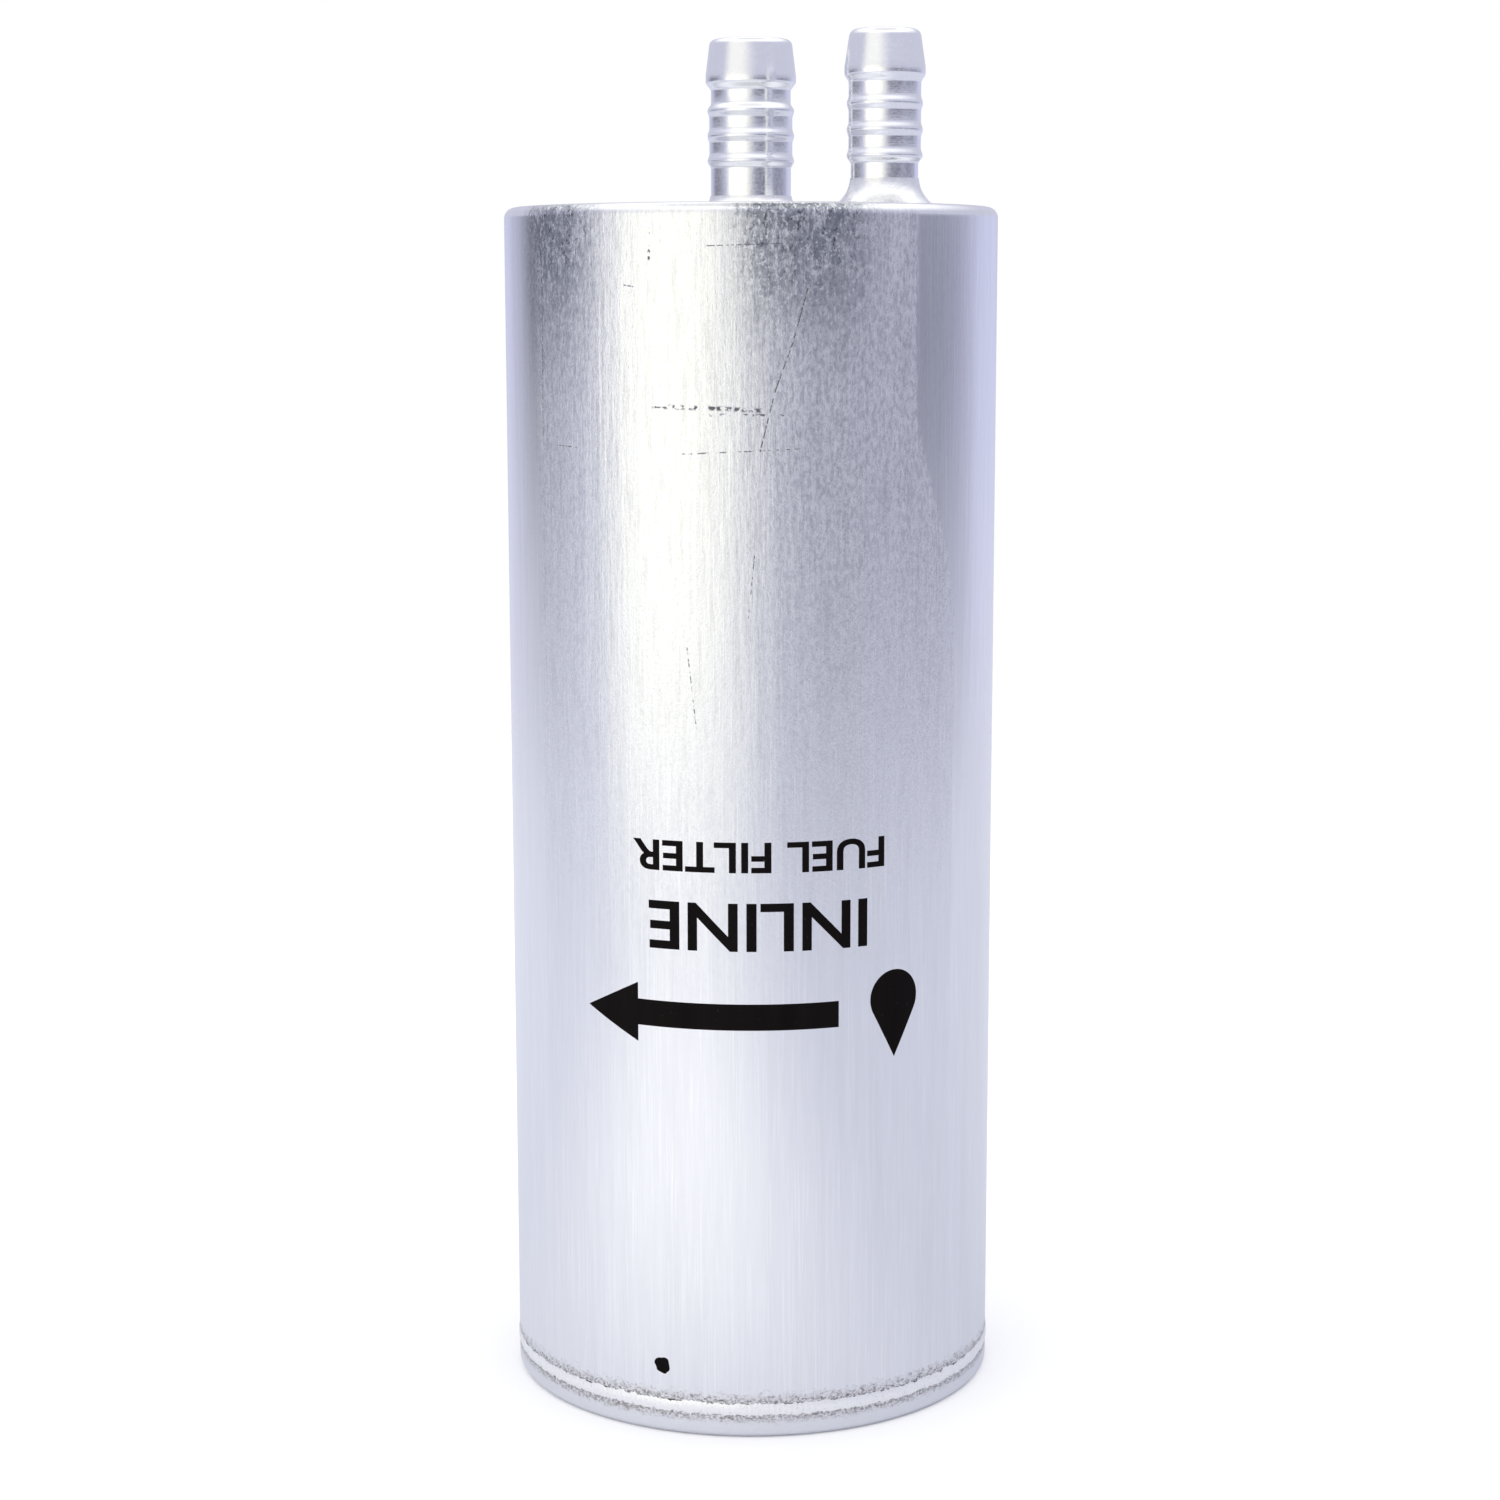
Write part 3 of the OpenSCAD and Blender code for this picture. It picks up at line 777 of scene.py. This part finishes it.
def droplet(height):
    """Outline of a fuel drop, centred, point up."""
    radius = height * 0.32
    centre = -height / 2 + radius
    tip = height / 2
    reach = math.degrees(math.acos(radius / (tip - centre)))
    return arc((0, centre), radius, 90 + reach, 450 - reach, 40) + [(0, tip)]


def arrow(length, shaft, head_length, head):
    """Outline of an arrow that points along +x, centred."""
    tip, neck = length / 2, length / 2 - head_length
    return [(-tip, -shaft / 2), (neck, -shaft / 2), (neck, -head / 2), (tip, 0),
            (neck, head / 2), (neck, shaft / 2), (-tip, shaft / 2)]


def build_print():
    """Black print, upside down when the ports are up: words, a flow arrow, a drop and a dab.
    Each is (name, flat solid, arc and height of its centre)."""
    prints = (
        ("print_words", lettering("FUEL FILTER", 43, 5.1, 0.022), 1.3, 98.9),
        ("print_kind", lettering("INLINE", 37, 8.0, 0.018), 1.1, 87.3),
        ("print_flow_arrow", stencil(arrow(44, 4.4, 10, 10)), -7.5, 72.3),
        ("print_drop", stencil(droplet(14.8)), 25.0, 71.3),
        ("paint_dab", stencil(blob(1.35, 3)), -15.5, 11.8),
    )
    for name, flat, arc_centre, height_centre in prints:
        piece(name, flat_to_wall(flat, arc_centre, height_centre), "black_ink", CANISTER)


# ---------------------------------------------------------------- cartridge


def assign(node, slot):
    obj = frame["nodes"][node]
    obj.data.materials.clear()
    obj.data.materials.append(MATERIALS[slot])


def spring_height(t, turns, closed, bottom, top):
    """Height of the wire's middle after t turns; the first and last turns are closed."""
    if t < 1:
        return bottom + closed * t
    if t > turns - 1:
        return top - closed * (turns - t)
    rise = (top - bottom - 2 * closed) / (turns - 2)
    return bottom + closed + rise * (t - 1)


def build_spring():
    """Hold-down spring: round wire, closed turns at both ends."""
    low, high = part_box("hold_down_spring")
    wire_r, coil_r, turns, closed = 0.9, 20.0, 5.0, 1.9
    bottom, top = mm(low.z) + wire_r, mm(high.z) - wire_r
    per_turn, around = 72, 20
    bm = bmesh.new()
    rings = []
    for i in range(int(turns * per_turn) + 1):
        t = i / per_turn
        z = spring_height(t, turns, closed, bottom, top)
        a = 2 * math.pi * t
        ring = []
        for k in range(around):
            b = 2 * math.pi * k / around
            r = coil_r + wire_r * math.cos(b)
            ring.append(bm.verts.new((r * math.cos(a) * MM, r * math.sin(a) * MM,
                                      (z + wire_r * math.sin(b)) * MM)))
        rings.append(ring)
    for a, b in zip(rings, rings[1:]):
        for k in range(around):
            n = (k + 1) % around
            bm.faces.new((a[k], b[k], b[n], a[n]))
    bm.faces.new(rings[0][::-1])
    bm.faces.new(rings[-1])
    bmesh.ops.recalc_face_normals(bm, faces=bm.faces)
    spring = piece("cartridge_spring", bm, "spring_steel", CANISTER, ["hold_down_spring"])
    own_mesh(spring)


# ---------------------------------------------------------------- build

build_can()
build_end_cap()
build_weld()
build_port("outlet", OUTLET, (0, 0), "outlet_barb", "outlet_braze", 2.0, 2.0, 2.0)
build_port("inlet", INLET_PORT, INLET, "inlet_barb", "inlet_braze", 2.4, 4.2, 5.4)
build_print()
build_spring()
for part in frame["record"]["subparts"]:
    assign(part["node"], part["material_slot"])


# ---------------------------------------------------------------- studio

# Brightness round the horizon: (degrees from the camera's side, + to the right; brightness)
HORIZON = (
    (-180, 0.66), (-158, 0.72), (-136, 0.48), (-120, 0.10), (-98, 0.17), (-80, 0.50),
    (-60, 0.66), (-20, 0.60), (2, 0.40), (14, 0.25), (26, 0.18), (45, 0.19), (60, 0.31),
    (74.5, 0.34), (76.5, 0.28), (98, 0.32), (115, 0.46), (132, 0.72), (150, 0.74), (180, 0.66),
)
COOL = (0.92, 0.94, 1.24)  # tint of the light round the horizon
KEY = (1.04, 1.0, 0.60)  # colour of the soft box, which is added to it


def horizon(g, turn):
    """Light round the horizon at the angle turn."""
    share = g.math("ADD", g.math("DIVIDE", turn, 2 * math.pi), 0.5)
    ramp = g.add("ShaderNodeValToRGB", {"Fac": share})
    stops = ramp.color_ramp.elements
    while len(stops) > 1:
        stops.remove(stops[-1])
    for i, (angle, level) in enumerate(HORIZON):
        position = (angle + 180) / 360
        stop = stops[0] if i == 0 else stops.new(position)
        stop.position = position
        stop.color = tuple(level * t / 2 for t in COOL) + (1,)
    return g.scaled(ramp.outputs["Color"], 2)


def soft_box(g, turn, rise):
    """Brightness of the soft box to the left of the camera, strongest just above the horizon."""
    level = g.math("MULTIPLY", g.fade(turn, math.radians(-80), math.radians(-52)),
                   g.fade(turn, math.radians(-30), math.radians(18), 1, 0))
    level = g.math("MULTIPLY", level,
                   g.fade(rise, math.radians(-20), math.radians(4), 0.25, 1.0))
    level = g.math("MULTIPLY", level, g.fade(rise, math.radians(2), math.radians(9), 1, 0.4))
    return g.math("MULTIPLY", level, g.fade(rise, math.radians(25), math.radians(45), 1, 0))


def build_world():
    """Soft studio surroundings: a large soft box to the left of the camera, darker screens
    beside it, and pale light above and below. The camera sees plain white surroundings."""
    world = bpy.data.worlds.new("studio")
    bpy.context.scene.world = world
    world.use_nodes = True
    g = Nodes(world.node_tree)
    way = g.vector("NORMALIZE", g.add("ShaderNodeTexCoord").outputs["Generated"])
    x, y, z = g.split(way)
    turn = g.math("ARCTAN2", x, g.math("MULTIPLY", y, -1))
    rise = g.math("ARCSINE", z)
    above = g.fade(rise, math.radians(1), math.radians(7))
    overhead = g.fade(rise, math.radians(18), math.radians(60))
    zenith = g.fade(rise, math.radians(50), math.radians(75))
    below = g.fade(g.math("ADD", rise, g.math("MULTIPLY", x, 0.04)),
                   math.radians(-12), math.radians(2.5), 0.9, 0)
    light = g.mix(above, horizon(g, turn), grey(0.68, (0.96, 0.97, 1.15)))
    light = g.mix(overhead, light, grey(1.6))
    light = g.mix(zenith, light, grey(0.95))
    light = g.mix(below, light, grey(0.80, (0.97, 0.99, 1.12)))
    light = g.vector("ADD", light, g.scaled(KEY, soft_box(g, turn, rise)))
    seen = g.add("ShaderNodeLightPath").outputs["Is Camera Ray"]
    backdrop = g.add("ShaderNodeBackground", {"Color": grey(1.0)})
    lit = g.add("ShaderNodeBackground", {"Color": light})
    both = g.add("ShaderNodeMixShader", {0: seen, 1: lit.outputs[0], 2: backdrop.outputs[0]})
    g.add("ShaderNodeOutputWorld", {"Surface": both.outputs[0]})


def floor_material():
    """White that fades out with distance. In reflections it shows a painted patch of light in
    front of the filter to the left, painted shade towards the right and a faint painted
    emission; to the camera it is an even white with a faint emission. Seen from underneath and
    under the foot it is clear, so that the underside is lit and in view."""
    material = bpy.data.materials.new("floor_white")
    material.use_nodes = True
    g = Nodes(material.node_tree)
    place = g.place()
    distance = g.vector("LENGTH", place, out="Value")
    gone = g.math("MAXIMUM", g.fade(distance, 350, 1000),
                  g.add("ShaderNodeNewGeometry").outputs["Backfacing"])
    gone = g.math("MAXIMUM", gone, g.fade(distance, CAN_R - 3, CAN_R - 2, 1, 0))
    seen = g.add("ShaderNodeLightPath").outputs["Is Camera Ray"]

    # Painted light on the floor for reflections: a bright patch with emission in front to the
    # left, and painted shade towards the right
    painted_light_pool_centre, painted_light_pool_glow, seen_glow = (-110, -190, 0), 0.11, 0.08
    off_painted_light_pool = g.vector("LENGTH", g.vector("SUBTRACT", place, painted_light_pool_centre), out="Value")
    painted_light_pool = g.fade(off_painted_light_pool, 20, 280, 1, 0)
    painted_side_shade = g.mix(g.fade(g.split(place)[0], -250, 250), grey(0.77, (0.97, 0.99, 1.07)),
                grey(0.70, (0.97, 0.99, 1.09)))
    tone = g.mix(seen, g.mix(painted_light_pool, painted_side_shade, grey(0.95)), grey(0.97))
    painted_glow = g.math("MULTIPLY", painted_light_pool, painted_light_pool_glow)
    painted_glow = g.math("ADD", painted_glow, g.math("MULTIPLY", seen, g.math("SUBTRACT", seen_glow, painted_glow)))

    white = g.add("ShaderNodeBsdfDiffuse", {"Color": tone})
    painted_glow = g.add("ShaderNodeEmission", {"Strength": painted_glow})
    white = g.add("ShaderNodeAddShader", {0: white.outputs[0], 1: painted_glow.outputs[0]})
    clear = g.add("ShaderNodeBsdfTransparent")
    both = g.add("ShaderNodeMixShader", {0: gone, 1: white.outputs[0], 2: clear.outputs[0]})
    g.add("ShaderNodeOutputMaterial", {"Surface": both.outputs[0]})
    return material


def build_floor():
    """A round pale floor under the filter."""
    radius_m = 1.2
    bm = bmesh.new()
    bmesh.ops.create_circle(bm, cap_ends=True, radius=radius_m, segments=128)
    mesh = bpy.data.meshes.new("floor")
    bm.to_mesh(mesh)
    bm.free()
    floor = bpy.data.objects.new("floor", mesh)
    bpy.context.scene.collection.objects.link(floor)
    mesh.materials.append(floor_material())


def build_camera():
    """A camera half a metre in front, level with the upper part of the canister."""
    camera = bpy.data.objects.new("camera", bpy.data.cameras.new("camera"))
    bpy.context.scene.collection.objects.link(camera)
    camera.data.sensor_width = 36
    camera.data.lens = 69.55
    camera.data.clip_start, camera.data.clip_end = 0.01, 100
    place_m, down, roll = (-0.0003, -0.5027, 0.1899), math.radians(9.04), -0.0015
    camera.matrix_world = (Matrix.Translation(place_m)
                           @ Matrix.Rotation(math.radians(90) - down, 4, "X")
                           @ Matrix.Rotation(roll, 4, "Z"))
    bpy.context.scene.camera = camera


build_world()
build_floor()
build_camera()
bpy.context.scene.view_settings.view_transform = "Standard"
